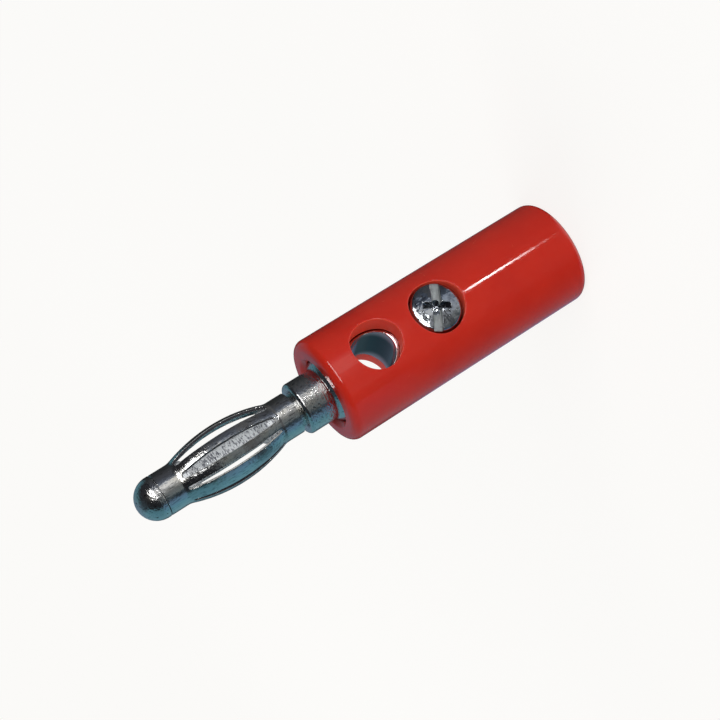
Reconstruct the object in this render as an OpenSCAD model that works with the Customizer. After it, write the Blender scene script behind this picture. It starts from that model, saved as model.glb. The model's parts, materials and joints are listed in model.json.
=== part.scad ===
// Stackable 4 mm banana plug. The plug stands on its rear end, with its axis on Z and the tip up.
// The origin is the centre of the rear end face, and the clamp screw and the stacking hole face -Y.

/* [Sleeve] */
// Outer diameter of the plastic sleeve
sleeve_d = 10; // [9:0.1:12]
// Length of the plastic sleeve
sleeve_len = 26; // [25:0.5:36]
// Round on the front edge of the sleeve
sleeve_front_round = 0.8; // [0.3:0.1:1.0]
// Round on the rear edge of the sleeve
sleeve_rear_round = 0.7; // [0.3:0.1:1.2]
// Depth of the bevel round the front mouth
mouth_bevel = 0.4; // [0.2:0.05:0.6]
// Diameter of the hole that the insulated wire goes in by
cable_hole_d = 4.2; // [3:0.1:5]
// Depth of that hole, to the shoulder that the metal body rests on
cable_hole_len = 10; // [7:0.5:11]
// Bevel at the mouth of the cable hole
cable_hole_bevel = 0.3; // [0.1:0.05:0.5]

/* [Metal body] */
// Diameter of the rod inside the sleeve
rod_d = 6; // [5.8:0.1:6.4]
// How far the rod's front face lies below the sleeve's front face
rod_recess = 0; // [0:0.05:1.2]
// Bevel on the rear edge of the rod
rod_bevel = 0.15; // [0.05:0.05:0.3]
// Bevel on the front edge of the rod, which leads up to the collar
nose_bevel = 0.5; // [0.1:0.05:0.6]
// Diameter of the collar behind the spring
collar_d = 4.9; // [4.4:0.1:5.4]
// Length of the collar
collar_len = 2.8; // [2:0.05:5]
// Round on the front edge of the collar
collar_round = 0.35; // [0.1:0.05:0.5]
// Diameter of the thin middle of the core inside the spring
waist_d = 1.8; // [1.2:0.1:2.6]
// How far each spring seat on the core runs past the ends of the spring's slots
seat_reach = 0.7; // [0.4:0.1:1.5]
// Depth of the turned groove at the foot of the collar, below the rear seat
groove_depth = 0.1; // [0.05:0.05:0.3]
// Diameter of the ball tip
tip_d = 3.9; // [3.8:0.02:3.96]
// Length of the tip, from its shoulder to its end
tip_len = 2.2; // [2:0.1:3]

/* [Stacking hole] */
// Diameter of the cross hole that takes another plug
socket_d = 4; // [3.98:0.02:4.2]
// Distance of the cross hole from the sleeve's front face
socket_from_front = 5.1; // [4:0.1:7]
// How much wider than the socket the hole in the plastic is, all round
socket_margin = 0.3; // [0.1:0.05:0.5]

/* [Wire clamp] */
// Diameter of the hole in the rod for the bare wire
wire_hole_d = 3; // [2.6:0.1:3.4]
// Metal left between the wire hole's pointed end and the cross hole
wire_hole_web = 0.8; // [0.5:0.1:2]
// Distance of the screw from the rod's rear end
screw_from_rod_end = 4.4; // [3.5:0.1:5.2]
// Diameter of the screw's shank
screw_d = 2.5; // [2:0.1:2.6]
// Length of the screw's shank
screw_len = 4; // [3.4:0.1:4.3]
// Diameter of the screw's head
head_d = 4.6; // [3.8:0.1:4.8]
// Height of the screw's head, with its dome
head_h = 1.45; // [1.2:0.05:1.6]
// Radius of the dome on the screw's head
head_dome_r = 6; // [4:0.5:12]
// Round on the edge of the screw's head
head_round = 0.25; // [0.1:0.05:0.4]
// How far the head stands off the rod while the clamp is empty
screw_standoff = 0.5; // [0.1:0.05:0.8]
// Room all round the screw's head in the plastic
head_margin = 0.2; // [0.15:0.05:0.6]
// Room all round the screw's shank in the rod
screw_gap = 0.04; // [0.02:0.01:0.08]
// Width of the straight driver slot
slot_w = 0.8; // [0.5:0.05:1]
// Depth of the straight driver slot
slot_depth = 0.6; // [0.3:0.05:0.8]
// Width across the wings of the cross recess
cross_d = 2.9; // [2.2:0.1:3.2]
// Width of one wing of the cross recess
cross_w = 0.55; // [0.4:0.05:0.7]
// Depth of the cross recess
cross_depth = 0.95; // [0.6:0.05:1.1]
// Turn of the driver slot in the head, as the screw happens to sit
slot_turn = -31; // [-90:1:90]

/* [Lantern spring] */
// Outer diameter of the spring's two end rings
ring_d = 3.88; // [3.8:0.02:3.96]
// Outer diameter of the spring at its belly
belly_d = 5.65; // [4.8:0.05:6.2]
// Length of the spring
spring_len = 13.4; // [11:0.1:16]
// Length of the ring at each end of the spring, to where the belly's arc starts
ring_len = 1.85; // [1.3:0.05:2.6]
// How far from there the sheet starts to bend, on the ring
bend_len = 0.15; // [0.05:0.05:0.3]
// Thickness of the sheet
sheet = 0.25; // [0.15:0.01:0.3]
// Number of leaves
leaf_count = 9; // [6:1:12]
// Width of the punched slots where they end at the rings
slit_w = 0.4; // [0.36:0.01:0.5]
// How far each slot starts past its ring, on the belly
slit_start = 0.25; // [0:0.05:0.8]
// Width of the seam where the rolled sheet meets
seam_w = 0.2; // [0.1:0.02:0.36]
// Turn of the spring about the pin, as it happens to sit
spring_turn = -4; // [-20:1:20]

/* [Fits] */
// Gap all round between the rod and the sleeve's bore
rod_gap = 0.05; // [0.02:0.01:0.1]
// Gap all round between the spring's rings and their seats on the core
spin_gap = 0.03; // [0.02:0.01:0.06]
// Gap between the spring and the tip's shoulder
tip_gap = 0.06; // [0.02:0.01:0.1]
// Gap between the spring and the collar, which the spring lengthens into when it is squeezed
stretch_gap = 0.4; // [0.2:0.05:0.8]

/* [Hidden] */
$fn = 96;

// How far a cutting shape runs past the face that it opens
over = 1;
// Angle of a drill's point
drill_point = 118;

// Heights of the steps along the plug, from the rear end up
rod_z = cable_hole_len;
rod_front_z = sleeve_len - rod_recess;
collar_front_z = rod_front_z + collar_len;
spring_z = collar_front_z + stretch_gap;
spring_front_z = spring_z + spring_len;
tip_z = spring_front_z + tip_gap;
socket_z = sleeve_len - socket_from_front;
screw_z = rod_z + screw_from_rod_end;

// The spring's section: its rings, the arc of its belly, and a short cone that halves the bend between them
ring_r = ring_d / 2;
belly_rise = (belly_d - ring_d) / 2;
belly_half = spring_len / 2 - ring_len;
belly_z = spring_z + spring_len / 2;
belly_r = (pow(belly_half, 2) / belly_rise + belly_rise) / 2;
belly_axis = ring_r + belly_rise - belly_r;
bend_angle = atan(belly_rise / belly_half);

// The slots: wedges that leave each leaf as wide along its whole length
slit_half_angle = 180 / leaf_count;
slit_apex = ring_r - slit_w / 2 / tan(slit_half_angle);
slit_reach = belly_half - slit_start - slit_w / 2;

// The core's seats fill the spring's rings from inside
seat_r = ring_r - sheet - spin_gap;
seat_inner_half = slit_reach + slit_w / 2 - seat_reach;
waist_r = waist_d / 2;
groove_r = seat_r - groove_depth;

// The clamp screw's place along its own axis, measured from the plug's axis
head_under = rod_d / 2 + screw_standoff;

// Half the section of a turned bar, with a round at each end
module rounded_bar_section(r, len, low_round, high_round) {
    translate([0, low_round]) square([r, len - low_round - high_round]);
    square([r - low_round, low_round + high_round]);
    translate([0, len - low_round - high_round]) square([r - high_round, low_round + high_round]);
    translate([r - low_round, low_round]) circle(low_round);
    translate([r - high_round, len - high_round]) circle(high_round);
}

// Half the section of a turned bar, with a bevel at each end
module bevelled_bar_section(r, len, low_bevel, high_bevel) {
    polygon([
        [0, 0],
        [r - low_bevel, 0],
        [r, low_bevel],
        [r, len - high_bevel],
        [r - high_bevel, len],
        [0, len]
    ]);
}

// Half the section of a turned step with a round on its far edge
module rounded_step_section(r, len, edge_round) {
    square([r, len - edge_round]);
    square([r - edge_round, len]);
    translate([r - edge_round, len - edge_round]) circle(edge_round);
}

// Moulded red sleeve: stepped bore for cable and rod, cross hole through both walls, screw hole in one
module insulating_sleeve() {
    bore_r = rod_d / 2 + rod_gap;
    cable_r = cable_hole_d / 2;
    color("firebrick") difference() {
        rotate_extrude()
            rounded_bar_section(sleeve_d / 2, sleeve_len, sleeve_rear_round, sleeve_front_round);
        translate([0, 0, rod_z]) cylinder(h = sleeve_len, r = bore_r);
        translate([0, 0, sleeve_len - mouth_bevel])
            cylinder(h = mouth_bevel + over, r1 = bore_r, r2 = bore_r + mouth_bevel + over);
        translate([0, 0, -over]) cylinder(h = rod_z + 2 * over, r = cable_r);
        translate([0, 0, -over])
            cylinder(h = cable_hole_bevel + over, r1 = cable_r + cable_hole_bevel + over, r2 = cable_r);
        translate([0, 0, socket_z]) rotate([90, 0, 0])
            cylinder(h = sleeve_d + 2 * over, r = socket_d / 2 + socket_margin, center = true);
        translate([0, 0, screw_z]) rotate([90, 0, 0])
            cylinder(h = sleeve_d / 2 + over, r = head_d / 2 + head_margin);
    }
}

// Section of the core that carries the spring: two seats, the waist between them and the groove
module core_section() {
    taper = seat_r - waist_r;
    polygon([
        [0, collar_front_z - over],
        [groove_r, collar_front_z - over],
        [groove_r, spring_z],
        [seat_r, spring_z],
        [seat_r, belly_z - seat_inner_half],
        [waist_r, belly_z - seat_inner_half + taper],
        [waist_r, belly_z + seat_inner_half - taper],
        [seat_r, belly_z + seat_inner_half],
        [seat_r, tip_z],
        [0, tip_z]
    ]);
}

// Section of the tip: a short straight rim under a ball end
module tip_section() {
    tip_r = tip_d / 2;
    square([tip_r, tip_len - tip_r]);
    translate([0, tip_len - tip_r]) intersection() {
        circle(tip_r);
        square(tip_r);
    }
}

// Turned and plated body: rod, collar, core and tip in one piece, drilled for plug, wire and screw
module plug_body() {
    wire_r = wire_hole_d / 2;
    point_h = wire_r / tan(drill_point / 2);
    wire_len = socket_z - socket_d / 2 - wire_hole_web - point_h - rod_z;
    color("silver") difference() {
        rotate_extrude() {
            translate([0, rod_z])
                bevelled_bar_section(rod_d / 2, rod_front_z - rod_z, rod_bevel, nose_bevel);
            translate([0, rod_front_z - over])
                rounded_step_section(collar_d / 2, collar_len + over, collar_round);
            core_section();
            translate([0, tip_z]) tip_section();
        }
        translate([0, 0, socket_z]) rotate([90, 0, 0])
            cylinder(h = rod_d + 2 * over, r = socket_d / 2, center = true);
        translate([0, 0, rod_z - over]) cylinder(h = wire_len + over, r = wire_r);
        translate([0, 0, rod_z + wire_len]) cylinder(h = point_h, r1 = wire_r, r2 = 0);
        translate([0, 0, screw_z]) rotate([90, 0, 0])
            cylinder(h = rod_d / 2 + over, r = screw_d / 2 + screw_gap);
    }
}

// Everything inside the spring's outer face, or inside a face that lies deeper by the given inset
module spring_fill_section(inset) {
    ring_in = ring_r - inset;
    end_z = spring_len / 2 + (inset > 0 ? over : 0);
    bend_z = belly_half + bend_len - inset * tan(bend_angle / 2);
    cone_z = belly_half * 0.8;
    cone_r = ring_in + (bend_z - cone_z) * tan(bend_angle);
    polygon([
        [0, -end_z],
        [ring_in, -end_z],
        [ring_in, -bend_z],
        [cone_r, -cone_z],
        [cone_r, cone_z],
        [ring_in, bend_z],
        [ring_in, end_z],
        [0, end_z]
    ]);
    intersection() {
        translate([belly_axis, 0]) circle(belly_r - inset, $fn = 360);
        translate([0, -belly_half]) square([belly_d, 2 * belly_half]);
    }
}

// One slot of the spring: a wedge that narrows towards the pin, with a cone at each round end
module slit() {
    depth = belly_d / 2 + over - slit_apex;
    half_w = depth * tan(slit_half_angle);
    translate([0, 0, -slit_reach]) linear_extrude(2 * slit_reach)
        polygon([[slit_apex, 0], [slit_apex + depth, -half_w], [slit_apex + depth, half_w]]);
    for (side = [-1, 1]) translate([slit_apex, 0, side * slit_reach]) rotate([0, 90, 0])
        cylinder(h = depth, r1 = 0, r2 = half_w);
}

// Rolled sheet spring: two rings joined by bowed leaves, with its open seam on the side away from the screw
module lantern_spring() {
    seam_turn = 90 + slit_half_angle * (leaf_count % 2);
    color("lightgray") translate([0, 0, belly_z]) rotate(spring_turn) difference() {
        rotate_extrude() difference() {
            spring_fill_section(0);
            spring_fill_section(sheet);
        }
        for (i = [0 : leaf_count - 1]) rotate(-90 + i * 2 * slit_half_angle) slit();
        rotate(seam_turn) translate([0, -seam_w / 2, -spring_len])
            cube([ring_d, seam_w, 2 * spring_len]);
    }
}

// Section of the screw's head: a low dome with a rounded edge
module head_section() {
    intersection() {
        rounded_step_section(head_d / 2, head_h, head_round);
        translate([0, head_h - head_dome_r]) circle(head_dome_r);
    }
}

// Driver recess: a cross with tapering wings, on a straight slot across the whole head
module driver_recess() {
    translate([-head_d, -slot_w / 2, -slot_depth]) cube([2 * head_d, slot_w, slot_depth + over]);
    intersection() {
        translate([0, 0, -cross_depth])
            cylinder(h = cross_depth, r1 = cross_w / 2, r2 = cross_d / 2);
        union() {
            cube([cross_d, cross_w, 3 * cross_depth], center = true);
            cube([cross_w, cross_d, 3 * cross_depth], center = true);
        }
    }
}

// Plated clamp screw that crosses the rod's wall and reaches into the wire hole
module clamp_screw() {
    color("gainsboro") translate([0, 0, screw_z]) rotate([90, 0, 0]) difference() {
        union() {
            translate([0, 0, head_under]) rotate_extrude() head_section();
            translate([0, 0, head_under - screw_len]) cylinder(h = screw_len, r = screw_d / 2);
        }
        translate([0, 0, head_under + head_h]) rotate(slot_turn) driver_recess();
    }
}

insulating_sleeve();
plug_body();
lantern_spring();
clamp_screw();
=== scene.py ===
"""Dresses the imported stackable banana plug: sleeve, metal body, lantern spring and clamp screw."""

import json
import math
from types import SimpleNamespace

import bpy
from bpy.props import FloatProperty, FloatVectorProperty, IntProperty, PointerProperty
from mathutils import Matrix, Quaternion, Vector


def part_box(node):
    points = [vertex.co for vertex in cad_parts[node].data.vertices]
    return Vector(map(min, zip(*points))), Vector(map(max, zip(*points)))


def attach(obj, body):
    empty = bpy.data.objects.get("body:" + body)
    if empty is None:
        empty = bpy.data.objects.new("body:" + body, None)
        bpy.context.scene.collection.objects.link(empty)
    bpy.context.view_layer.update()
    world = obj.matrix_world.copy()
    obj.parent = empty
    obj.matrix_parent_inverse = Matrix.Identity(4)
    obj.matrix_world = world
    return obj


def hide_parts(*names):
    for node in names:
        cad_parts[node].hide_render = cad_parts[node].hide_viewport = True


bl_info = {
    "name": "Stackable banana plug",
    "version": (1, 0, 0),
    "blender": (4, 5, 0),
    "location": "3D View > Sidebar > Banana Plug",
    "description": "Models the plug's sleeve, body, spring and screw over the packed solids",
    "category": "Add Mesh",
}

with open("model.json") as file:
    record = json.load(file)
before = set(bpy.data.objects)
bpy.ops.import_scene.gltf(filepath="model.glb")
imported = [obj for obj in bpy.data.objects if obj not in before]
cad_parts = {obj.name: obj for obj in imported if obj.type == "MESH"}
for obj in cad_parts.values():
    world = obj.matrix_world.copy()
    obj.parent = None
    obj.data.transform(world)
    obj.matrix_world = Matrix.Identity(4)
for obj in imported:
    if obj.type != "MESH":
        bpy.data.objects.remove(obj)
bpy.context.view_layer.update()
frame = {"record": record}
MOUNTS = {m["name"]: m for m in frame["record"]["mounts"]}
SLEEVE_LOW, SLEEVE_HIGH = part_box("insulating_sleeve")
BODY_LOW, BODY_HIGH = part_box("plug_body")
SPRING_LOW, SPRING_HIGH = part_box("lantern_spring")
SCREW_LOW, SCREW_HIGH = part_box("clamp_screw")

# Pieces are modelled with one unit as a millimetre, which keeps Blender's tools exact, then brought to metres
MM = 0.001
# A pole of a turned piece is drawn as a circle this small, then merged into one point
POLE = 0.001
# Points of a turned piece this close are merged
MERGE = 0.0002
# How far a point may lie off a turned face, or off an edge where two meet, and still count as on it
ON_FACE = 0.001
ON_EDGE = 0.002
# How far a cutting shape runs past the face that it opens
OVER = 1.0
# A place off every axis, so that no two points of a piece are equally far from it
SORT_FROM = (3.17, 7.41, -11.93)

# How the punched slots differ from each other: turn in degrees and share of the even width, by their number
SLOT_UNEVEN = {0: (-1.9, 1.15), 1: (1.1, 1.45), 8: (5.6, 0.61), 7: (3.0, 0.5)}
# The slots whose two walls both get the dark painted shade
SHADED_SLOTS = (7,)

# Depth of the deburring tool's cone for each millimetre that it widens
FLARE_SLOPE = 0.36
# How much wider the tapped hole is than the screw's shank
TAPPED_ROOM = 0.08
# Round on the ball tip's shoulder, and the steps of its quarter circle
TIP_ROUND = 0.06
TIP_STEPS = 24

# The spring's profile: a short cone between each ring and the arc halves the bend there. Its ends lie this far
# inside the ring, it rises this much, and the arc keeps this share of its half angle
CONE_ENDS = (0.3, 0.1)
CONE_RISE = 0.004
ARC_SHARE = 0.97
# Steps of the arc from the belly to each ring
ARC_STEPS = 20
# The share of its width that a slot's cutter keeps at its thin end
THIN_END = 0.002

# Round on the rim of the screw's head, and the steps of its dome
RIM_ROUND = 0.22
DOME_STEPS = 9
# The thread: rings of points in one pitch, and how many depths its flanks fall in one pitch
THREAD_STEPS = 10
THREAD_FLANK = 2.6
# The tail's blunt point: its length, and how much it draws in for each millimetre
POINT_LENGTH = 0.3
POINT_SLOPE = 0.6

# How long one band of the wave texture is at a scale of 1
WAVE_BAND = 0.314

# Nylon where a scuff has whitened it, the stage's even light, and the cloth overhead
SCUFFED_RED = "#D4523C"
SOFT_GREY = "#D8DADC"
TENT_TOP = "#3A444C"

# The stage: directions level from the plug towards the camera and, a quarter turn on, towards the window
CAMERA_SIDE = (-0.259, -0.966, 0)
WINDOW_SIDE = (0.966, -0.259, 0)
# The tent of cloths round the plug, in metres, and the heights on it between which the low cloth hangs
TENT_RADIUS = 0.5
LOW_CLOTH = (-0.245, -0.142)
# The lamp tube behind that cloth: its place and its soft edge in degrees round, its upper and lower ends in
# metres of height, each as (from, to), and its strength
TUBE_TURN = 24
TUBE_EDGE = (1.2, 2.4)
TUBE_TOP = (-0.186, -0.182)
TUBE_FADE = (-0.216, -0.19)
TUBE_STRENGTH = 50.0
# The tent's openings, where the metal mirrors the white background: (from, to) in degrees round and in height
WINDOW_TURN = (16, 40)
WINDOW_HEIGHT = (-0.145, 0.06)
TENT_BOTTOM = -0.433
# How much of the table's look is even, and how bright that is, so that both shares come to the table's colour
EVEN_SHARE = 0.75
EVEN_STRENGTH = 1.155
# Distances on the table, in metres, between which it passes from the lamps' light to the even look alone
LAMP_REACH = (0.06, 0.45)
ROOM_LIGHT = 0.35
# The table lies this little below the plug's rear face, so that the two never share a plane
TABLE_DROP = 0.00002
# What the lamps point at
LIT_POINT = (0, 0, 0.022)


def size(default_mm, name, description, **limits):
    """A length that a user may change, given here in millimetres."""
    return FloatProperty(
        name=name, description=description, default=default_mm * MM, unit="LENGTH", precision=5, **limits
    )


def colour(code, name, description):
    """A colour that a user may change, given here as its sRGB hex value."""
    return FloatVectorProperty(
        name=name, description=description, default=linear(code), size=4, min=0, max=1, subtype="COLOR"
    )


def linear(code):
    """Turns an sRGB hex value into the linear colour that the shaders take."""
    parts = [int(code[i:i + 2], 16) / 255 for i in (1, 3, 5)]
    return tuple(c / 12.92 if c <= 0.04045 else ((c + 0.055) / 1.055) ** 2.4 for c in parts) + (1.0,)


class SleeveSizes(bpy.types.PropertyGroup):
    diameter: size((SLEEVE_HIGH.x - SLEEVE_LOW.x) / MM, "Diameter", "Outer diameter of the sleeve")
    length: size(SLEEVE_HIGH.z / MM, "Length", "Length of the sleeve")
    front_round: size(0.8, "Front round", "Round on the front edge")
    rear_round: size(0.7, "Rear round", "Round on the rear edge")
    bore: size(6.1, "Bore", "Diameter of the bore round the rod")
    mouth_bevel: size(0.4, "Mouth bevel", "Depth of the bevel round the front mouth")
    shoulder: size(10.0, "Shoulder", "Height of the shoulder that the rod rests on")
    cable_hole: size(2 * MOUNTS["cable_entry"]["dims"]["r_mm"], "Cable hole", "Diameter of the cable hole")
    cable_bevel: size(0.3, "Cable hole bevel", "Bevel at the mouth of the cable hole")
    cross_hole: size(4.6, "Cross hole", "Diameter of the cross hole in the plastic")
    screw_hole: size(5.0, "Screw hole", "Diameter of the hole over the screw's head")
    edge: size(0.1, "Edge", "Soft edge that moulding leaves round each hole")


class BodySizes(bpy.types.PropertyGroup):
    rod: size((BODY_HIGH.x - BODY_LOW.x) / MM, "Rod", "Diameter of the rod inside the sleeve")
    rod_front: size(26.0, "Rod front", "Height of the rod's front face")
    rod_bevel: size(0.15, "Rod bevel", "Bevel on the rod's rear edge")
    nose_bevel: size(0.5, "Nose bevel", "Bevel on the rod's front edge, up to the collar")
    collar: size(4.9, "Collar", "Diameter of the collar")
    collar_front: size(28.8, "Collar front", "Height of the collar's front face")
    collar_round: size(0.35, "Collar round", "Round on the collar's front edge")
    seat: size(3.32, "Seat", "Diameter of the seats inside the spring's rings")
    groove: size(0.1, "Groove", "Depth of the groove at the collar's foot")
    waist: size(1.8, "Waist", "Diameter of the thin middle of the core")
    waist_half: size(3.9, "Seat ends", "Distance of each seat's inner end from the belly's middle")
    tip: size(3.9, "Tip", "Diameter of the ball tip")
    tip_start: size(SPRING_HIGH.z / MM + 0.06, "Tip start", "Height of the tip's shoulder")
    socket: size(2 * MOUNTS["stack_socket"]["dims"]["r_mm"], "Stacking hole", "Diameter of the cross hole")
    socket_height: size(
        MOUNTS["stack_socket"]["pos_m"][2] / MM, "Stacking hole height", "Height of the cross hole"
    )
    flare_depth: size(0.15, "Flare depth", "How deep the deburring tool's cone goes below the rod's side")
    wire_hole: size(3.0, "Wire hole", "Diameter of the hole for the bare wire")
    wire_depth: size(7.2, "Wire hole depth", "Depth of the wire hole before its pointed end")
    wire_point: size(0.9, "Wire hole point", "Depth of the drill's point")
    edge: size(0.05, "Edge", "Broken edge that deburring leaves round each hole")


class SpringSizes(bpy.types.PropertyGroup):
    ring: size(3.88, "Ring", "Outer diameter of the end rings")
    belly: size(SPRING_HIGH.x * 2 / MM, "Belly", "Outer diameter at the belly")
    length: size((SPRING_HIGH.z - SPRING_LOW.z) / MM, "Length", "Length of the spring")
    ring_length: size(1.85, "Ring length", "Length of each end ring")
    sheet: size(0.25, "Sheet", "Thickness of the sheet")
    slot: size(0.4, "Slot end", "Width of the slots where they end at the rings")
    slot_start: size(0.25, "Slot start", "How far each slot starts past its ring")
    seam: size(0.2, "Seam", "Width of the seam where the sheet meets")
    edge: size(0.03, "Edge", "Rolled-over edge that punching leaves")
    leaves: IntProperty(name="Leaves", description="Number of leaves", default=9, min=4, max=16)
    uneven: FloatProperty(
        name="Uneven", description="How much of the photographed spring's uneven spacing the slots take on",
        default=1.0, min=0, max=1, subtype="FACTOR",
    )
    turn: FloatProperty(
        name="Turn", description="Turn of the spring about the pin", default=math.radians(-4), subtype="ANGLE"
    )


class ScrewSizes(bpy.types.PropertyGroup):
    height: size(14.4, "Height", "Height of the screw's axis on the plug")
    head: size((SCREW_HIGH.x - SCREW_LOW.x) / MM, "Head", "Diameter of the head")
    head_top: size(-SCREW_LOW.y / MM, "Head top", "Distance of the head's top from the plug's axis")
    head_height: size(1.45, "Head height", "Height of the head with its dome")
    dome: size(6.0, "Dome", "Radius of the dome on the head")
    shank: size(2.5, "Shank", "Outer diameter of the thread")
    pitch: size(0.45, "Pitch", "Pitch of the thread")
    thread_depth: size(0.24, "Thread depth", "Depth of the thread")
    slot: size(0.8, "Slot", "Width of the driver slot")
    slot_depth: size(0.6, "Slot depth", "Depth of the driver slot")
    cross: size(2.9, "Cross", "Width across the cross recess")
    wing: size(0.55, "Wing", "Width of one wing of the cross recess")
    cross_depth: size(0.95, "Cross depth", "Depth of the cross recess")
    edge: size(0.04, "Edge", "Soft edge of the cold-formed head")
    turn: FloatProperty(
        name="Turn", description="Turn of the driver slot", default=math.radians(-31), subtype="ANGLE"
    )


class PlugColours(bpy.types.PropertyGroup):
    red: colour("#C02C1E", "Red", "The sleeve's pigmented nylon")
    # Painted light: a red brighter than the sleeve's own, for the walls of the holes, so that they look lit
    # though little light reaches them
    red_wall_painted_light: colour("#FF5A42", "Red wall", "The sleeve's holes, where light comes through the nylon")
    red_shade: colour("#B9281C", "Red shade", "The sleeve where the melt cooled a little darker")
    nickel: colour("#D0D0CF", "Nickel", "Bright nickel plating")
    brass: colour("#C6B891", "Brass", "Brass that warms thin plating")
    sheared: colour("#EAEAE6", "Sheared", "Fresh metal on the spring's punched edges")
    # Painted shade: a near-black tone for the spring's slot walls that lie in shade
    torn: colour("#1C1C20", "Torn", "Film in the torn band of the spring's punched edges")
    # Partly painted light: matt nickel, but near-white and faintly blue, brighter than the nickel elsewhere, so
    # that the core looks lit in the spring's shade
    core: colour("#F8FCFF", "Core", "Matt nickel on the rough-turned core")
    core_dark: colour("#7E808A", "Core strokes", "The tool strokes on the core")
    # A pink tone on the cross hole's wall near its ends, which greys the blue-green that the wall mirrors
    drilled: colour("#D8A8AA", "Drilled", "Warm brass that shows through the plating in the cross hole")
    zinc: colour("#A6AAB0", "Zinc", "Bright zinc plating of the screw")
    zinc_matt: colour("#9EA2A2", "Matt zinc", "Zinc on the floors of the screw's recesses")
    # A dark tone mixed into the low points of the metal's pits, dents and grain, and painted shade deep in the
    # cross hole and on the spring's shaded slot walls
    grime_and_shade: colour("#35343A", "Grime", "What gathers in the pits of the metal")
    floor: colour("#FBFAF8", "Floor", "The pale table")


class StageSizes(bpy.types.PropertyGroup):
    camera: FloatVectorProperty(
        name="Camera", description="Where the camera stands", default=(-0.031108, -0.114048, 0.059446),
        size=3, subtype="TRANSLATION", unit="LENGTH",
    )
    target: FloatVectorProperty(
        name="Target", description="What the camera looks at", default=(0.000755, -0.000211, 0.021466),
        size=3, subtype="TRANSLATION", unit="LENGTH",
    )
    roll: FloatProperty(
        name="Roll", description="Turn of the camera about its own line of sight",
        default=math.radians(-121.9), subtype="ANGLE",
    )
    lens: FloatProperty(name="Lens", description="Focal length in millimetres on a 36 mm frame", default=70.59)


def settings_of(group):
    """The group's own settings by name, without the two that every group has."""
    return {name: prop for name, prop in group.bl_rna.properties.items() if name not in ("rna_type", "name")}


def sizes(group):
    """The group's lengths as plain numbers in millimetres, and its counts and turns as they are."""
    plain = SimpleNamespace()
    for name, prop in settings_of(group).items():
        value = getattr(group, name)
        setattr(plain, name, value / MM if getattr(prop, "unit", "NONE") == "LENGTH" else value)
    return plain


def deselect_all():
    """Leaves edit mode and selects nothing, because an operator acts on all that is selected."""
    if bpy.context.object and bpy.context.object.mode != "OBJECT":
        bpy.ops.object.mode_set(mode="OBJECT")
    bpy.ops.object.select_all(action="DESELECT")


def pick(piece):
    """Selects this piece alone and makes it the active one."""
    deselect_all()
    piece.select_set(True)
    bpy.context.view_layer.objects.active = piece


def select_points(test):
    """In edit mode, selects the points of the active mesh for which the test holds, and what they join."""
    bpy.ops.mesh.select_mode(type="VERT")
    bpy.ops.mesh.select_all(action="DESELECT")
    bpy.ops.object.mode_set(mode="OBJECT")
    for point in bpy.context.object.data.vertices:
        point.select = bool(test(point.co))
    bpy.ops.object.mode_set(mode="EDIT")


def turned(name, profile, sides, closed=False):
    """Turns a profile of (radius, height) about Z: a circle is extruded from each point to the next."""
    deselect_all()
    steps = [(max(r, POLE), z) for r, z in profile]
    if closed:
        steps.append(steps[0])
    bpy.ops.mesh.primitive_circle_add(
        vertices=sides, radius=steps[0][0], location=(0, 0, 0), fill_type="NOTHING"
    )
    piece = bpy.context.object
    piece.name = name
    piece.data.name = name
    bpy.ops.object.mode_set(mode="EDIT")
    bpy.ops.mesh.select_mode(type="VERT")
    bpy.ops.mesh.select_all(action="SELECT")
    bpy.ops.transform.translate(value=(0, 0, steps[0][1]))
    for (r, z), (next_r, next_z) in zip(steps, steps[1:]):
        bpy.ops.mesh.extrude_region_move(TRANSFORM_OT_translate={"value": (0, 0, next_z - z)})
        bpy.ops.transform.resize(value=(next_r / r, next_r / r, 1), center_override=(0, 0, 0))
    bpy.ops.mesh.select_all(action="SELECT")
    bpy.ops.mesh.remove_doubles(threshold=MERGE)
    for r, z in (profile[0], profile[-1]):
        if r == 0:
            select_points(lambda co: math.hypot(co.x, co.y) < 2 * POLE and abs(co.z - z) < 2 * POLE)
            bpy.ops.mesh.merge(type="CENTER")
    bpy.ops.mesh.select_all(action="SELECT")
    bpy.ops.mesh.normals_make_consistent(inside=False)
    bpy.ops.object.mode_set(mode="OBJECT")
    return piece


def round_edge(radius, height, width, segments):
    """Rounds the edge at this radius and height of the piece that was just turned, with the bevel tool."""
    bpy.ops.object.mode_set(mode="EDIT")
    select_points(lambda co: abs(co.z - height) < ON_EDGE and abs(math.hypot(co.x, co.y) - radius) < ON_EDGE)
    bpy.ops.mesh.bevel(offset=width, segments=segments, profile=0.5, affect="EDGES")
    bpy.ops.object.mode_set(mode="OBJECT")


def block(name, lengths, middle):
    """A straight cutter of these lengths about its middle."""
    deselect_all()
    bpy.ops.mesh.primitive_cube_add(size=1, location=(0, 0, 0))
    bpy.ops.transform.resize(value=lengths, center_override=(0, 0, 0))
    bpy.ops.transform.translate(value=middle)
    bpy.ops.object.transform_apply()
    bpy.context.object.name = name
    return bpy.context.object


def move(piece, offset):
    """Moves the points of a piece and leaves its object at the origin."""
    pick(piece)
    bpy.ops.transform.translate(value=offset)
    bpy.ops.object.transform_apply(location=True, rotation=False, scale=False)


def drill(name, diameter, start, end, height):
    """A round cutter at this height, along Y from start to end."""
    deselect_all()
    bpy.ops.mesh.primitive_cylinder_add(
        vertices=96, radius=diameter / 2, depth=abs(end - start), location=(0, (start + end) / 2, 0),
        rotation=(math.pi / 2, 0, 0),
    )
    bpy.ops.object.transform_apply()
    cutter = bpy.context.object
    cutter.name = name
    move(cutter, (0, 0, height))
    return cutter


def join(pieces):
    """Joins pieces into the first of them."""
    pick(pieces[0])
    for piece in pieces[1:]:
        piece.select_set(True)
    bpy.ops.object.join()
    return pieces[0]


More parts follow.
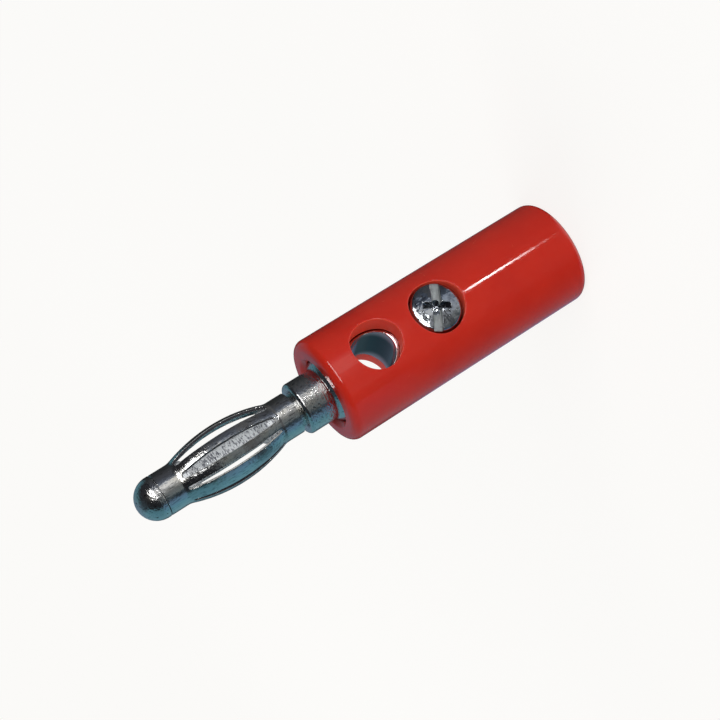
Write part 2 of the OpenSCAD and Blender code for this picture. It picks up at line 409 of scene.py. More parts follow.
def combine(piece, other, operation="DIFFERENCE"):
    """Cuts the other shape out of the piece, or adds it, and takes the other shape away."""
    pick(piece)
    change = piece.modifiers.new("Cut", "BOOLEAN")
    change.operation = operation
    change.solver = "EXACT"
    change.material_mode = "TRANSFER"
    change.object = other
    bpy.ops.object.modifier_apply(modifier=change.name)
    bpy.data.objects.remove(other)
    # The cut numbers its points in another order each run, so they are sorted by distance from the cursor,
    # which then goes back to the origin, because other tools start from it
    bpy.context.scene.cursor.location = SORT_FROM
    bpy.ops.object.mode_set(mode="EDIT")
    bpy.ops.mesh.select_mode(type="VERT")
    bpy.ops.mesh.select_all(action="SELECT")
    bpy.ops.mesh.sort_elements(type="CURSOR_DISTANCE", elements={"VERT", "EDGE", "FACE"})
    bpy.ops.object.mode_set(mode="OBJECT")
    bpy.context.scene.cursor.location = (0, 0, 0)


def soften(piece, width, angle=30, merge=0.02, segments=2):
    """Softens every sharp edge by width, and lets the large faces keep their own shading."""
    pick(piece)
    bpy.ops.object.mode_set(mode="EDIT")
    bpy.ops.mesh.select_all(action="SELECT")
    bpy.ops.mesh.remove_doubles(threshold=merge)
    bpy.ops.object.mode_set(mode="OBJECT")
    bpy.ops.object.shade_smooth()
    bevel = piece.modifiers.new("Edge", "BEVEL")
    bevel.width = width
    bevel.segments = segments
    bevel.limit_method = "ANGLE"
    bevel.angle_limit = math.radians(angle)
    bevel.use_clamp_overlap = False
    bpy.ops.object.modifier_apply(modifier=bevel.name)
    shading = piece.modifiers.new("Shading", "WEIGHTED_NORMAL")
    shading.mode = "FACE_AREA"
    shading.keep_sharp = False
    bpy.ops.object.modifier_apply(modifier=shading.name)


def shade_as_turned(piece, radius):
    """Gives the turned outer face its true normals, so that the holes leave no mark in its shine."""
    mesh = piece.data
    normals = [Vector(corner.vector) for corner in mesh.corner_normals]
    for corner in mesh.loops:
        x, y, _ = mesh.vertices[corner.vertex_index].co
        if abs(math.hypot(x, y) - radius) < ON_FACE:
            normals[corner.index] = Vector((x, y, 0)).normalized()
    mesh.normals_split_custom_set(normals)


def hand_over(piece, node, body):
    """Brings a finished piece from millimetres to metres, and lets it stand for its solid."""
    pick(piece)
    bpy.ops.transform.resize(value=(MM, MM, MM), center_override=(0, 0, 0))
    bpy.ops.object.transform_apply()
    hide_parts(node)
    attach(piece, body)


def add_node(tree, kind, inputs=None, **settings):
    """Adds one node: settings are its properties, and an input is a value, a node or a node's output."""
    new = tree.nodes.new("ShaderNode" + kind)
    for name, value in settings.items():
        setattr(new, name, value)
    for name, value in (inputs or {}).items():
        if isinstance(value, bpy.types.Node):
            value = next(out for out in value.outputs if out.enabled)
        if isinstance(value, bpy.types.NodeSocket):
            tree.links.new(value, new.inputs[name])
        else:
            new.inputs[name].default_value = value
    return new


def per_mm(millimetres):
    """The scale at which a noise pattern repeats about once in this real size."""
    return 1 / (millimetres * MM)


def emptied(data):
    """The node tree of a material or a world, with nothing in it yet."""
    data.use_nodes = True
    data.node_tree.nodes.clear()
    return data.node_tree


def new_material(name):
    """A material with only the piece's own coordinates in it."""
    material = bpy.data.materials.new(name)
    tree = emptied(material)
    return material, tree, add_node(tree, "TexCoord").outputs["Object"]


def finished(material, surface):
    """The material with its shader, which takes these inputs, and its output."""
    tree = material.node_tree
    shader = add_node(tree, "BsdfPrincipled", surface)
    add_node(tree, "OutputMaterial", {"Surface": shader})
    return material


def toned(tree, pattern, span, first, last, share=(0.0, 1.0)):
    """A colour that turns from the first to the last, by these shares, while the pattern crosses the span."""
    amount = add_node(tree, "MapRange", {
        "Value": pattern, "From Min": span[0], "From Max": span[1], "To Min": share[0], "To Max": share[1],
    })
    return add_node(tree, "Mix", {"Factor": amount, "A": first, "B": last}, data_type="RGBA")


def moulded_red_nylon(name, tone, cool_tone, roughness):
    """Injection-moulded red nylon, with a faint orange peel and fine scuffs in its gloss."""
    material, tree, place = new_material(name)
    # Where the melt met and cooled, over a few millimetres, the pigment is a little deeper
    flow = add_node(tree, "TexNoise", {"Vector": place, "Scale": per_mm(4), "Detail": 3})
    pigment = toned(tree, flow, (0.35, 0.75), tone, cool_tone)
    # Scuffs from handling: thin bent lines, about 3 mm apart, each only a stretch long
    bend = add_node(tree, "TexNoise", {"Vector": place, "Scale": per_mm(2), "Detail": 1})
    bent_place = add_node(
        tree, "VectorMath", {0: bend.outputs["Color"], 1: (1.2 * MM,) * 3, 2: place}, operation="MULTIPLY_ADD",
    )
    cells = add_node(
        tree, "TexVoronoi", {"Vector": bent_place, "Scale": per_mm(3.1)}, feature="DISTANCE_TO_EDGE",
    )
    line = add_node(tree, "MapRange", {"Value": cells, "From Max": 0.012, "To Min": 1.0, "To Max": 0.0})
    stretch = add_node(tree, "TexNoise", {"Vector": place, "Scale": per_mm(1.6), "Detail": 2})
    stretches = add_node(tree, "MapRange", {"Value": stretch, "From Min": 0.64, "From Max": 0.72})
    scuff = add_node(tree, "Math", {0: line, 1: stretches}, operation="MULTIPLY")
    scuffed = add_node(
        tree, "Mix", {"Factor": scuff, "A": pigment, "B": linear(SCUFFED_RED)}, data_type="RGBA",
    )
    # Gloss varies with the mould's polish
    polish = add_node(tree, "TexNoise", {"Vector": place, "Scale": per_mm(1.2), "Detail": 4})
    rough = add_node(tree, "MapRange", {
        "Value": polish, "From Min": 0.3, "From Max": 0.8, "To Min": roughness, "To Max": roughness + 0.05,
    })
    peel = add_node(tree, "TexNoise", {"Vector": place, "Scale": per_mm(0.7), "Detail": 2})
    bump = add_node(tree, "Bump", {"Height": peel, "Strength": 0.35, "Distance": 0.012 * MM})
    # Nylon lets light a little way in, which brightens the walls of the holes a little; most of their brightness
    # is painted light, a brighter red than the sleeve's own
    return finished(material, {
        "Base Color": scuffed, "Roughness": rough, "Normal": bump, "IOR": 1.53, "Subsurface Weight": 0.3,
        "Subsurface Radius": (1.0, 0.15, 0.08), "Subsurface Scale": 1.2 * MM,
    })


def nickel_on_turned_brass(colours):
    """Bright nickel on turned brass: tool rings under the plating, small pits, warm where it is thin."""
    material, tree, place = new_material("Nickel plated turned brass")
    thin = add_node(tree, "TexNoise", {"Vector": place, "Scale": per_mm(1.8), "Detail": 4})
    plated = toned(tree, thin, (0.5, 0.75), colours.nickel, colours.brass, (0.0, 0.3))
    pits = add_node(tree, "TexNoise", {"Vector": place, "Scale": per_mm(0.22), "Detail": 3})
    stained = toned(tree, pits, (0.3, 0.42), plated, colours.grime_and_shade, (0.75, 0.0))
    # The tool's feed was about 0.05 mm a turn; at 0.16 mm the rings still show in the render
    rings = add_node(
        tree, "TexWave",
        {"Vector": place, "Scale": WAVE_BAND * per_mm(0.16), "Distortion": 1.2, "Detail": 2, "Detail Scale": 0.4},
        bands_direction="Z",
    )
    ring_bump = add_node(
        tree, "Bump", {"Height": rings.outputs["Fac"], "Strength": 0.25, "Distance": 0.01 * MM},
    )
    bump = add_node(
        tree, "Bump", {"Height": pits, "Strength": 0.6, "Distance": 0.06 * MM, "Normal": ring_bump},
    )
    rough = add_node(
        tree, "MapRange", {"Value": thin, "From Min": 0.3, "From Max": 0.8, "To Min": 0.09, "To Max": 0.24},
    )
    return finished(material, {"Base Color": stained, "Roughness": rough, "Normal": bump, "Metallic": 1.0})


def rough_turned_core(colours):
    """The core under the spring: turned in one quick pass, so matt, with slanting tool strokes."""
    material, tree, place = new_material("Rough turned core")
    slant = add_node(
        tree, "Mapping", {"Vector": place, "Rotation": (0, math.radians(28), 0), "Scale": (1, 1, 3)},
    )
    strokes = add_node(tree, "TexNoise", {"Vector": slant, "Scale": per_mm(0.34), "Detail": 4})
    # Painted light: the core's tone is near-white and faintly blue, brighter than the nickel elsewhere, so that
    # it looks lit in the spring's shade; the darker strokes are the tool's
    tone = toned(tree, strokes, (0.38, 0.5), colours.core_dark, colours.core)
    bump = add_node(tree, "Bump", {"Height": strokes, "Strength": 0.8, "Distance": 0.06 * MM})
    # Strokes too fine to render scatter the light, which a mostly matt surface stands for
    return finished(material, {"Base Color": tone, "Normal": bump, "Metallic": 0.1, "Roughness": 0.42})


def drilled_brass(colours):
    """The wall of the cross hole: a pink tone near its ends, which greys the blue-green that it mirrors, and
    painted shade that darkens it halfway through.
    """
    material, tree, place = new_material("Drilled wall, painted shade")
    depth = add_node(tree, "SeparateXYZ", {0: place}).outputs["Y"]
    way_in = add_node(tree, "Math", {0: depth}, operation="ABSOLUTE")
    # Painted shade: the wall turns to the dark tone towards the middle of the hole
    film_and_shade = add_node(
        tree, "MapRange",
        {"Value": way_in, "From Min": 1.5 * MM, "From Max": 2.7 * MM, "To Min": 1.0, "To Max": 0.0},
        interpolation_type="SMOOTHSTEP",
    )
    tone = add_node(
        tree, "Mix", {"Factor": film_and_shade, "A": colours.drilled, "B": colours.grime_and_shade}, data_type="RGBA",
    )
    cloud = add_node(tree, "TexNoise", {"Vector": place, "Scale": per_mm(0.5), "Detail": 3})
    bump = add_node(tree, "Bump", {"Height": cloud, "Strength": 0.3, "Distance": 0.04 * MM})
    return finished(material, {"Base Color": tone, "Normal": bump, "Metallic": 1.0, "Roughness": 0.16})


def nickel_on_rolled_sheet(colours):
    """Nickel on rolled copper alloy sheet: grain along the leaves, orange-skin where it was bowed."""
    material, tree, place = new_material("Nickel plated rolled sheet")
    along = add_node(tree, "Mapping", {"Vector": place, "Scale": (1, 1, 0.22)})
    grain = add_node(tree, "TexNoise", {"Vector": along, "Scale": per_mm(0.16), "Detail": 3})
    skin = add_node(tree, "TexNoise", {"Vector": place, "Scale": per_mm(0.32), "Detail": 4})
    thin = add_node(tree, "TexNoise", {"Vector": place, "Scale": per_mm(1.5), "Detail": 3})
    plated = toned(tree, thin, (0.5, 0.75), colours.nickel, colours.brass, (0.0, 0.25))
    stained = toned(tree, grain, (0.3, 0.45), plated, colours.grime_and_shade, (0.6, 0.0))
    grain_bump = add_node(tree, "Bump", {"Height": grain, "Strength": 0.35, "Distance": 0.03 * MM})
    bump = add_node(
        tree, "Bump", {"Height": skin, "Strength": 0.45, "Distance": 0.06 * MM, "Normal": grain_bump},
    )
    rough = add_node(
        tree, "MapRange", {"Value": skin, "From Min": 0.3, "From Max": 0.8, "To Min": 0.09, "To Max": 0.2},
    )
    return finished(material, {"Base Color": stained, "Roughness": rough, "Normal": bump, "Metallic": 1.0})


def punched_sheet_edge(name, edge_tone, film_and_shade):
    """One wall of the sheet's punched slots, sheared and ripped across: the noise mixes its tone towards its
    second colour, which on the shaded walls is painted shade.
    """
    material, tree, place = new_material(name)
    tear = add_node(tree, "TexNoise", {"Vector": place, "Scale": per_mm(0.12), "Detail": 3})
    tone = toned(tree, tear, (0.36, 0.5), edge_tone, film_and_shade, (0.7, 0.0))
    bump = add_node(tree, "Bump", {"Height": tear, "Strength": 0.9, "Distance": 0.06 * MM})
    # Torn metal scatters light from all its small facets, which a partly matt surface stands for
    return finished(material, {"Base Color": tone, "Normal": bump, "Metallic": 0.3, "Roughness": 0.38})


def zinc_on_formed_steel(name, zinc, film_and_shade, roughness):
    """Bright zinc on cold-formed steel: small dents, darker in their low points, and matt in the recesses."""
    material, tree, place = new_material(name)
    dents = add_node(tree, "TexNoise", {"Vector": place, "Scale": per_mm(0.7), "Detail": 2})
    tone = toned(tree, dents, (0.34, 0.48), zinc, film_and_shade, (0.4, 0.0))
    bump = add_node(tree, "Bump", {"Height": dents, "Strength": 0.9, "Distance": 0.1 * MM})
    rough = add_node(tree, "MapRange", {
        "Value": dents, "From Min": 0.3, "From Max": 0.7, "To Min": roughness, "To Max": roughness + 0.08,
    })
    return finished(material, {"Base Color": tone, "Roughness": rough, "Normal": bump, "Metallic": 1.0})


def background_rays(tree):
    """One for rays that look at the background: the camera's, and those off metal and through glass."""
    ray = add_node(tree, "LightPath").outputs
    mirrored = add_node(
        tree, "Math", {0: ray["Is Glossy Ray"], 1: ray["Is Transmission Ray"]}, operation="ADD",
    )
    return add_node(tree, "Math", {0: ray["Is Camera Ray"], 1: mirrored}, operation="ADD")


def white_table(colours):
    """A matt laminate table: its own pale colour, seen evenly, under a faint shadow round the plug."""
    material, tree, place = new_material("White table laminate")
    reach = add_node(tree, "VectorMath", {0: place}, operation="LENGTH")
    near_far = {"Value": reach, "From Min": LAMP_REACH[0], "From Max": LAMP_REACH[1]}
    share = add_node(tree, "MapRange", {**near_far, "To Min": EVEN_SHARE, "To Max": 1.0})
    strength = add_node(tree, "MapRange", {**near_far, "To Min": EVEN_STRENGTH, "To Max": 1.0})
    seen = add_node(tree, "Math", {0: background_rays(tree), 1: share}, operation="MULTIPLY")
    laminate = add_node(tree, "BsdfDiffuse", {"Color": colours.floor})
    even = add_node(tree, "Emission", {"Color": colours.floor, "Strength": strength})
    mixed = add_node(tree, "MixShader", {0: seen, 1: laminate, 2: even})
    add_node(tree, "OutputMaterial", {"Surface": mixed})
    return material


def colours_round(tree, turn, walls):
    """A colour that changes with the turn round the plug, from a list of (degrees, colour)."""
    round_room = add_node(tree, "MapRange", {"Value": turn, "From Min": -math.pi, "From Max": math.pi})
    ramp = add_node(tree, "ValToRGB", {"Fac": round_room})
    stops = ramp.color_ramp.elements
    stops[0].color = linear(walls[0][1])
    stops[1].color = linear(walls[-1][1])
    for degrees, code in walls[1:-1]:
        stops.new((degrees + 180) / 360).color = linear(code)
    return ramp


def studio_cloth():
    """The tent's cloths as the metal mirrors them: warm grey low down, blue-green at one side."""
    material, tree, place = new_material("Studio tent cloth")
    # How far round the plug, in degrees from the camera's side, and how steeply up or down
    towards = add_node(tree, "VectorMath", {0: place, 1: CAMERA_SIDE}, operation="DOT_PRODUCT")
    aside = add_node(tree, "VectorMath", {0: place, 1: WINDOW_SIDE}, operation="DOT_PRODUCT")
    turn = add_node(tree, "Math", {0: aside, 1: towards}, operation="ARCTAN2")
    height = add_node(tree, "SeparateXYZ", {0: place}).outputs["Z"]
    low = colours_round(tree, turn, [
        (-180, "#7C86B0"), (-131, "#6E92A0"), (-108, "#5A8492"), (-90, "#43626E"), (-72, "#3A4448"),
        (-54, "#2C3034"), (-42, "#3A3C40"), (-30, "#5E5E60"), (80, "#5E5E60"), (112, "#565656"),
        (142, "#444444"), (180, "#4A5060"),
    ])
    level = colours_round(tree, turn, [
        (-180, "#2A3238"), (-152, "#4A5E68"), (-138, "#78A2AE"), (-96, "#659AAB"), (-76, "#638DA7"),
        (-56, "#627C96"), (-51, "#36444F"), (-36, "#3A454C"), (-30, "#7A8486"), (-14, "#6E7274"),
        (-2, "#888A88"), (8, "#A8A8A8"), (18, "#C8CCD0"), (40, "#C0C8D6"), (50, "#5E6674"), (68, "#4E5158"),
        (90, "#46484C"), (112, "#36383A"), (150, "#2C2E30"), (180, "#2A3238"),
    ])
    high = colours_round(tree, turn, [
        (-180, "#73899C"), (-140, "#6A98A6"), (-100, "#5C8C9C"), (-76, "#588694"), (-67, "#466A76"),
        (-60, "#26282C"), (0, "#202024"), (60, "#2A2A2E"), (110, "#303236"), (135, "#5A8894"),
        (180, "#73899C"),
    ])
    # From the bottom up: the cloth above, and the heights between which it takes over
    shown = level
    for above, start, end in [
        (low, LOW_CLOTH[0] - 0.02, LOW_CLOTH[0] + 0.02),
        (level, LOW_CLOTH[1] - 0.012, LOW_CLOTH[1] + 0.012),
        (high, 0.03, 0.07),
        (linear(TENT_TOP), 0.44, 0.49),
    ]:
        shown = toned(tree, height, (start, end), shown, above)
    # The lamp tube behind the low cloth: narrow and bright, it draws the thin line of light along the sleeve
    off = add_node(tree, "Math", {0: turn, 1: math.radians(TUBE_TURN)}, operation="SUBTRACT")
    off_size = add_node(tree, "Math", {0: off}, operation="ABSOLUTE")
    tube = 1.0
    for value, (start, end), (first, last) in [
        (off_size, [math.radians(edge) for edge in TUBE_EDGE], (1.0, 0.0)),
        (height, TUBE_TOP, (1.0, 0.0)),
        (height, TUBE_FADE, (0.0, TUBE_STRENGTH)),
    ]:
        part = add_node(
            tree, "MapRange",
            {"Value": value, "From Min": start, "From Max": end, "To Min": first, "To Max": last},
        )
        tube = add_node(tree, "Math", {0: tube, 1: part}, operation="MULTIPLY")
    cloth = add_node(tree, "Emission", {"Color": shown, "Strength": 1.0})
    shine = add_node(tree, "Emission", {"Color": (1, 1, 1, 1), "Strength": tube})
    both = add_node(tree, "AddShader", {0: cloth, 1: shine})
    add_node(tree, "OutputMaterial", {"Surface": both})
    return material


def studio_world(colours):
    """The room: white as a background, also in what mirrors it, and an even grey light on what is matt."""
    world = bpy.data.worlds.new("Studio room")
    tree = emptied(world)
    soft = add_node(tree, "Background", {"Color": linear(SOFT_GREY), "Strength": ROOM_LIGHT})
    white = add_node(tree, "Background", {"Color": colours.floor, "Strength": 1.0})
    mixed = add_node(tree, "MixShader", {0: background_rays(tree), 1: soft, 2: white})
    add_node(tree, "OutputWorld", {"Surface": mixed})
    return world


class MakeStage(bpy.types.Operator):
    """Adds the table, the tent, the lamps, the room's light and the camera at the photograph's angle"""

    bl_idname = "banana_plug.stage"
    bl_label = "Table, light and camera"

    def execute(self, context):
        scene = context.scene
        stage = scene.banana_plug_stage
        colours = scene.banana_plug_colours
        deselect_all()
        bpy.ops.mesh.primitive_plane_add(size=6, location=(0, 0, -TABLE_DROP))
        bpy.ops.object.transform_apply()
        table = context.object
        table.name = "table"
        table.data.materials.append(white_table(colours))
        table.visible_glossy = False
        table.visible_shadow = False
        self.add_tent()
        scene.world = studio_world(colours)
        # Name, place, width and height in metres, power, and whether the metal mirrors the lamp itself
        lamps = [
            ("soft_key", (0.074, -0.42, 0.161), (0.5, 0.12), 1.0, True),
            ("soft_fill", (-0.22, -0.38, -0.06), (0.3, 0.3), 0.7, False),
            ("soft_back", (-0.10, 0.30, 0.42), (0.3, 0.3), 0.6, False),
        ]
        for name, place, lengths, power, mirrored in lamps:
            bpy.ops.object.light_add(type="AREA", location=place)
            lamp = context.object
            lamp.name = name
            lamp.rotation_euler = (Vector(LIT_POINT) - Vector(place)).to_track_quat("-Z", "Y").to_euler()
            lamp.data.shape = "RECTANGLE"
            lamp.data.size, lamp.data.size_y = lengths
            lamp.data.energy = power
            lamp.visible_camera = False
            lamp.visible_glossy = mirrored
        bpy.ops.object.camera_add(location=stage.camera)
        camera = context.object
        camera.name = "photo_camera"
        sight = (Vector(stage.target) - Vector(stage.camera)).to_track_quat("-Z", "Y")
        camera.rotation_euler = (sight @ Quaternion((0, 0, 1), stage.roll)).to_euler()
        camera.data.lens = stage.lens
        camera.data.sensor_width = 36
        camera.data.clip_start = 0.005
        camera.data.clip_end = 20
        scene.camera = camera
        scene.view_settings.view_transform = "Standard"
        return {"FINISHED"}

    def add_tent(self):
        """A tent of cloths that only the metal and the gloss mirror, open below and at its window."""
        deselect_all()
        bpy.ops.mesh.primitive_uv_sphere_add(
            segments=120, ring_count=90, radius=TENT_RADIUS, location=(0, 0, 0)
        )
        tent = bpy.context.object
        tent.name = "studio_tent"
        towards, aside = Vector(CAMERA_SIDE), Vector(WINDOW_SIDE)
        bpy.ops.object.mode_set(mode="EDIT")
        bpy.ops.mesh.select_mode(type="FACE")
        bpy.ops.mesh.select_all(action="DESELECT")
        bpy.ops.object.mode_set(mode="OBJECT")
        for face in tent.data.polygons:
            turn = math.degrees(math.atan2(face.center.dot(aside), face.center.dot(towards)))
            height = face.center.z
            window = WINDOW_TURN[0] < turn < WINDOW_TURN[1] and WINDOW_HEIGHT[0] < height < WINDOW_HEIGHT[1]
            face.select = window or height < TENT_BOTTOM
        bpy.ops.object.mode_set(mode="EDIT")
        bpy.ops.mesh.delete(type="FACE")
        bpy.ops.object.mode_set(mode="OBJECT")
        tent.data.materials.append(studio_cloth())
        tent.visible_camera = False
        tent.visible_diffuse = False
        tent.visible_transmission = False
        tent.visible_shadow = False


class MakeSleeve(bpy.types.Operator):
    """Models the red sleeve: a stepped tube with rounded ends, cross hole and screw hole"""

    bl_idname = "banana_plug.sleeve"
    bl_label = "Insulating sleeve"

    def execute(self, context):
        s = sizes(context.scene.banana_plug_sleeve)
        body = sizes(context.scene.banana_plug_body)
        screw = sizes(context.scene.banana_plug_screw)
        colours = context.scene.banana_plug_colours
        outside = moulded_red_nylon("Moulded red nylon", colours.red, colours.red_shade, roughness=0.06)
        # The holes' walls are painted light: the same nylon in a brighter red, so that they look lit though
        # little light reaches them
        inside = moulded_red_nylon("Red nylon, painted light", colours.red_wall_painted_light, colours.red_wall_painted_light, roughness=0.45)
        r = s.diameter / 2
        bore = s.bore / 2
        cable = s.cable_hole / 2
        profile = [
            (cable + s.cable_bevel, 0), (r, 0), (r, s.length), (bore + s.mouth_bevel, s.length),
            (bore, s.length - s.mouth_bevel), (bore, s.shoulder), (cable, s.shoulder), (cable, s.cable_bevel),
        ]
        sleeve = turned("red_sleeve", profile, sides=100, closed=True)
        round_edge(r, s.length, s.front_round, segments=10)
        round_edge(r, 0, s.rear_round, segments=10)
        sleeve.data.materials.append(outside)
        cross = drill("cross_cutter", s.cross_hole, -r - OVER, r + OVER, body.socket_height)
        access = drill("screw_cutter", s.screw_hole, -r - OVER, 0, screw.height)
        for cutter in (cross, access):
            cutter.data.materials.append(inside)
            combine(sleeve, cutter)
        soften(sleeve, s.edge)
        shade_as_turned(sleeve, r)
        hand_over(sleeve, "insulating_sleeve", "plug")
        return {"FINISHED"}


class MakeBody(bpy.types.Operator):
    """Models the metal body: rod, collar, core and ball tip in one turned piece with its three holes"""

    bl_idname = "banana_plug.body"
    bl_label = "Metal body"

    def execute(self, context):
        s = sizes(context.scene.banana_plug_body)
        sleeve = sizes(context.scene.banana_plug_sleeve)
        spring = sizes(context.scene.banana_plug_spring)
        screw = sizes(context.scene.banana_plug_screw)
        rear = sleeve.shoulder
        r = s.rod / 2
        wire = s.wire_hole / 2
        collar = s.collar / 2
        seat = s.seat / 2
        waist = s.waist / 2
        tip = s.tip / 2
        belly_z = SPRING_LOW.z / MM + spring.length / 2
        spring_start = belly_z - spring.length / 2
        taper = seat - waist
        tip_middle = BODY_HIGH.z / MM - tip
        profile = [
            (0, rear + s.wire_depth + s.wire_point), (wire, rear + s.wire_depth), (wire, rear),
            (r - s.rod_bevel, rear), (r, rear + s.rod_bevel),
            (r, s.rod_front - s.nose_bevel), (r - s.nose_bevel, s.rod_front), (collar, s.rod_front),
            (collar, s.collar_front), (seat - s.groove, s.collar_front), (seat - s.groove, spring_start),
            (seat, spring_start), (seat, belly_z - s.waist_half), (waist, belly_z - s.waist_half + taper),
            (waist, belly_z + s.waist_half - taper), (seat, belly_z + s.waist_half), (seat, s.tip_start),
            (tip, s.tip_start),
        ]
        for i in range(TIP_STEPS + 1):
            angle = math.pi / 2 * i / TIP_STEPS
            profile.append((tip * math.cos(angle), tip_middle + tip * math.sin(angle)))
        body = turned("metal_body", profile, sides=108)
        round_edge(collar, s.collar_front, s.collar_round, segments=6)
        round_edge(tip, s.tip_start, TIP_ROUND, segments=3)
        colours = context.scene.banana_plug_colours
        body.data.materials.append(nickel_on_turned_brass(colours))
        # The cross hole's drill, and the shallow cone that deburring left round each end of the hole
        hole, far = s.socket / 2, r + OVER
        flare_start = r - s.flare_depth
        flare_wide = hole + (far - flare_start) / FLARE_SLOPE
        socket = turned("socket_cutter", [
            (0, -far), (flare_wide, -far), (hole, -flare_start), (hole, flare_start), (flare_wide, far),
            (0, far),
        ], sides=128)
        socket.data.transform(Matrix.Rotation(math.pi / 2, 4, "X"))
        socket.data.materials.append(drilled_brass(colours))
        move(socket, (0, 0, s.socket_height))
        combine(body, socket)
        combine(body, drill("thread_cutter", screw.shank + TAPPED_ROOM, -r - OVER, 0, screw.height))
        soften(body, s.edge)
        body.data.materials.append(rough_turned_core(colours))
        for face in body.data.polygons:
            x, y, z = face.center
            if math.hypot(x, y) < seat + ON_FACE and spring_start < z < s.tip_start:
                face.material_index = len(body.data.materials) - 1
        hand_over(body, "plug_body", "plug")
        return {"FINISHED"}


class MakeSpring(bpy.types.Operator):
    """Models the lantern spring: one rolled sheet with two rings, bowed leaves, punched slots and a seam"""

    bl_idname = "banana_plug.spring"
    bl_label = "Lantern spring"

    def execute(self, context):
        s = sizes(context.scene.banana_plug_spring)
        colours = context.scene.banana_plug_colours
        ring = s.ring / 2
        rise = (s.belly - s.ring) / 2
        half = s.length / 2 - s.ring_length
        arc = (half * half / rise + rise) / 2
        axis = ring + rise - arc
        ends = [(ring, s.length / 2), (ring, half + CONE_ENDS[0]), (ring + CONE_RISE, half + CONE_ENDS[1])]
        outer = [(r, -z) for r, z in ends]
        reach = math.asin(half / arc) * ARC_SHARE
        for i in range(-ARC_STEPS, ARC_STEPS + 1):
            angle = reach * i / ARC_STEPS
            outer.append((axis + arc * math.cos(angle), arc * math.sin(angle)))
        outer += reversed(ends)
        profile = outer + [(r - s.sheet, z) for r, z in reversed(outer)]
        spring = turned("lantern_spring_leaves", profile, sides=360, closed=True)
        spring.data.materials.append(nickel_on_rolled_sheet(colours))
        # The first finish is sheared metal; the second is painted shade for the slot walls that lie in shade
        edges = (
            punched_sheet_edge("Punched edge, rubbed", colours.sheared, colours.grime_and_shade),
            punched_sheet_edge("Punched edge, torn", colours.grime_and_shade, colours.torn),
        )
        slots = join([self.slot_cutter(s, half, i, edges) for i in range(s.leaves)])
        seam_turn = math.pi / 2 + math.pi / s.leaves * (s.leaves % 2)
        seam = block("seam_cutter", (ring + OVER, s.seam, 2 * s.length), ((ring + OVER) / 2, 0, 0))
        seam.data.transform(Matrix.Rotation(seam_turn, 4, "Z"))
        seam.data.materials.append(edges[0])
        combine(spring, slots)
        combine(spring, seam)
        soften(spring, s.edge, merge=0.008, segments=1)
        spring.data.transform(Matrix.Rotation(s.turn, 4, "Z"))
        move(spring, (0, 0, (SPRING_LOW.z + SPRING_HIGH.z) / 2 / MM))
        hand_over(spring, "lantern_spring", "spring")
        return {"FINISHED"}

    def slot_cutter(self, s, half, index, edges):
        """A wedge with round ends, as wide at each depth as leaves of even width leave between them."""
        wedge = math.pi / s.leaves
        apex = s.ring / 2 - s.slot / 2 / math.tan(wedge)
        depth = s.belly / 2 + OVER - apex
        wide = depth * math.tan(wedge)
        reach = half - s.slot_start - s.slot / 2
        deselect_all()
        bpy.ops.mesh.primitive_cylinder_add(
            vertices=48, radius=wide, depth=depth, location=(0, 0, 0), rotation=(0, math.pi / 2, 0)
        )
        bpy.ops.object.transform_apply(location=False, rotation=True, scale=False)
        cutter = bpy.context.object
        bpy.ops.object.mode_set(mode="EDIT")
        select_points(lambda co: co.x < 0)
        bpy.ops.transform.resize(value=(1, THIN_END, THIN_END), center_override=(0, 0, 0))
        for side in (-1, 1):
            select_points(lambda co: co.z * side > 0)
            bpy.ops.transform.translate(value=(0, 0, side * reach))
        bpy.ops.object.mode_set(mode="OBJECT")
        # One wall of each slot keeps the bright sheared metal; the other, by the way it faces, and both walls of
        # the listed slots, get the dark painted shade
        for edge in edges:
            cutter.data.materials.append(edge)
        for face in cutter.data.polygons:
            face.material_index = 1 if face.normal.y > 0 or index in SHADED_SLOTS else 0
        shift, share = SLOT_UNEVEN.get(index, (0, 1))
        cutter.data.transform(Matrix.Diagonal((1, 1 + (share - 1) * s.uneven, 1, 1)))
        turn = -math.pi / 2 + 2 * wedge * index + math.radians(shift) * s.uneven
        cutter.data.transform(Matrix.Rotation(turn, 4, "Z") @ Matrix.Translation((apex + depth / 2, 0, 0)))
        return cutter


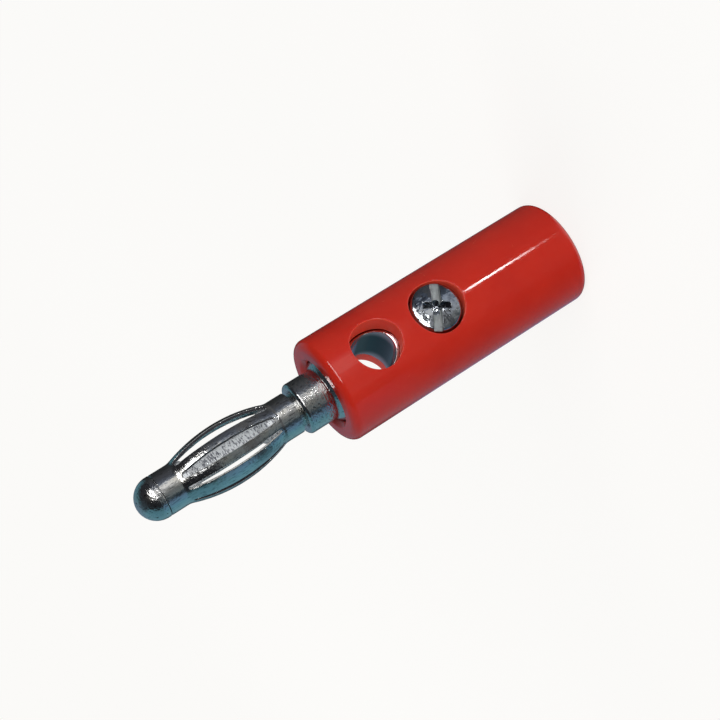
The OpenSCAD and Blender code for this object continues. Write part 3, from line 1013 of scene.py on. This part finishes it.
class MakeScrew(bpy.types.Operator):
    """Models the clamp screw: domed head with slot and cross recess, and a threaded shank"""

    bl_idname = "banana_plug.screw"
    bl_label = "Clamp screw"

    def execute(self, context):
        s = sizes(context.scene.banana_plug_screw)
        r = s.head / 2
        under = s.head_top - s.head_height
        tail = -SCREW_HIGH.y / MM
        # The last ring but one stays clear of the rim, so that the bevel tool has room for its round
        across = [(r - 1.5 * RIM_ROUND) * i / DOME_STEPS for i in range(DOME_STEPS + 1)] + [r]
        dome = [(a, s.head_height - s.dome + math.sqrt(s.dome ** 2 - a ** 2)) for a in across]
        head = turned("clamp_screw_head", dome + [(r, 0), (0, 0)], sides=128)
        round_edge(*dome[-1], RIM_ROUND, segments=5)
        colours = context.scene.banana_plug_colours
        bright = zinc_on_formed_steel(
            "Zinc plated cold formed steel", colours.zinc, colours.grime_and_shade, roughness=0.07
        )
        matt = zinc_on_formed_steel("Zinc plated recess", colours.zinc_matt, colours.grime_and_shade, roughness=0.34)
        head.data.materials.append(bright)
        slot = block("slot_cutter", (2 * s.head, s.slot, 2 * s.slot_depth), (0, 0, s.head_height))
        slot.data.materials.append(matt)
        cross = self.cross_cutter(s)
        cross.data.materials.append(bright)
        combine(head, slot)
        combine(head, cross)
        soften(head, s.edge, angle=24, merge=0.01)
        shank = self.thread(s, under - tail)
        shank.data.materials.append(bright)
        screw = join([head, shank])
        screw.name = "clamp_screw_plated"
        screw.data.transform(Matrix.Rotation(s.turn, 4, "Z"))
        screw.data.transform(Matrix.Rotation(math.pi / 2, 4, "X") @ Matrix.Translation((0, 0, under)))
        move(screw, (0, 0, s.height))
        hand_over(screw, "clamp_screw", "screw")
        return {"FINISHED"}

    def cross_cutter(self, s):
        """Two crossed bars that narrow towards the bottom of the recess."""
        top = (0, 0, s.head_height)
        deselect_all()
        bpy.ops.mesh.primitive_cone_add(
            vertices=64, radius1=s.wing / 2, radius2=s.cross / 2, depth=s.cross_depth,
            location=(0, 0, s.head_height - s.cross_depth / 2),
        )
        bpy.ops.object.transform_apply()
        cone = bpy.context.object
        wings = block("wing_cutter", (s.cross, s.wing, 3 * s.cross_depth), top)
        combine(wings, block("wing_cutter", (s.wing, s.cross, 3 * s.cross_depth), top), "UNION")
        combine(cone, wings, "INTERSECT")
        return cone

    def thread(self, s, length):
        """The shank: a bar of many rings whose points are drawn in along one helix to cut the thread."""
        rings = int(length / s.pitch * THREAD_STEPS)
        r = s.shank / 2
        side = [(r, -length * i / rings) for i in range(rings + 1)]
        shank = turned("clamp_screw_shank", [(0, 0)] + side + [(0, -length)], sides=48)
        for point in shank.data.vertices:
            if math.hypot(point.co.x, point.co.y) < r / 2:
                continue
            turn = math.atan2(point.co.y, point.co.x) / (2 * math.pi)
            phase = (point.co.z / s.pitch - turn) % 1
            cut = s.thread_depth * max(0, 1 - abs(phase - 0.5) * THREAD_FLANK)
            # The tail is turned down to a blunt point so that it doesn't snag the wire
            lead = max(0, -length + POINT_LENGTH - point.co.z)
            point.co.x *= (r - cut - lead * POINT_SLOPE) / r
            point.co.y *= (r - cut - lead * POINT_SLOPE) / r
        bpy.ops.object.shade_smooth_by_angle(angle=math.radians(28))
        return shank


class PlugPanel(bpy.types.Panel):
    """Lists the plug's sizes, colours and the steps that make it"""

    bl_idname = "VIEW3D_PT_banana_plug"
    bl_label = "Banana Plug"
    bl_space_type = "VIEW_3D"
    bl_region_type = "UI"
    bl_category = "Banana Plug"

    def draw(self, context):
        for group in GROUPS:
            box = self.layout.box()
            box.label(text=group.replace("_", " "))
            settings = getattr(context.scene, group)
            for name in settings_of(settings):
                box.prop(settings, name)
        for step in STEPS:
            self.layout.operator(step.bl_idname)


GROUPS = {
    "banana_plug_stage": StageSizes,
    "banana_plug_colours": PlugColours,
    "banana_plug_sleeve": SleeveSizes,
    "banana_plug_body": BodySizes,
    "banana_plug_spring": SpringSizes,
    "banana_plug_screw": ScrewSizes,
}
STEPS = (MakeStage, MakeSleeve, MakeBody, MakeSpring, MakeScrew)
CLASSES = tuple(GROUPS.values()) + STEPS + (PlugPanel,)


def register():
    for each in CLASSES:
        bpy.utils.register_class(each)
    for name, group in GROUPS.items():
        setattr(bpy.types.Scene, name, PointerProperty(type=group))


def unregister():
    for name in GROUPS:
        delattr(bpy.types.Scene, name)
    for each in reversed(CLASSES):
        bpy.utils.unregister_class(each)


def main():
    register()
    bpy.ops.banana_plug.stage()
    bpy.ops.banana_plug.sleeve()
    bpy.ops.banana_plug.body()
    bpy.ops.banana_plug.spring()
    bpy.ops.banana_plug.screw()


if __name__ == "__main__":
    main()
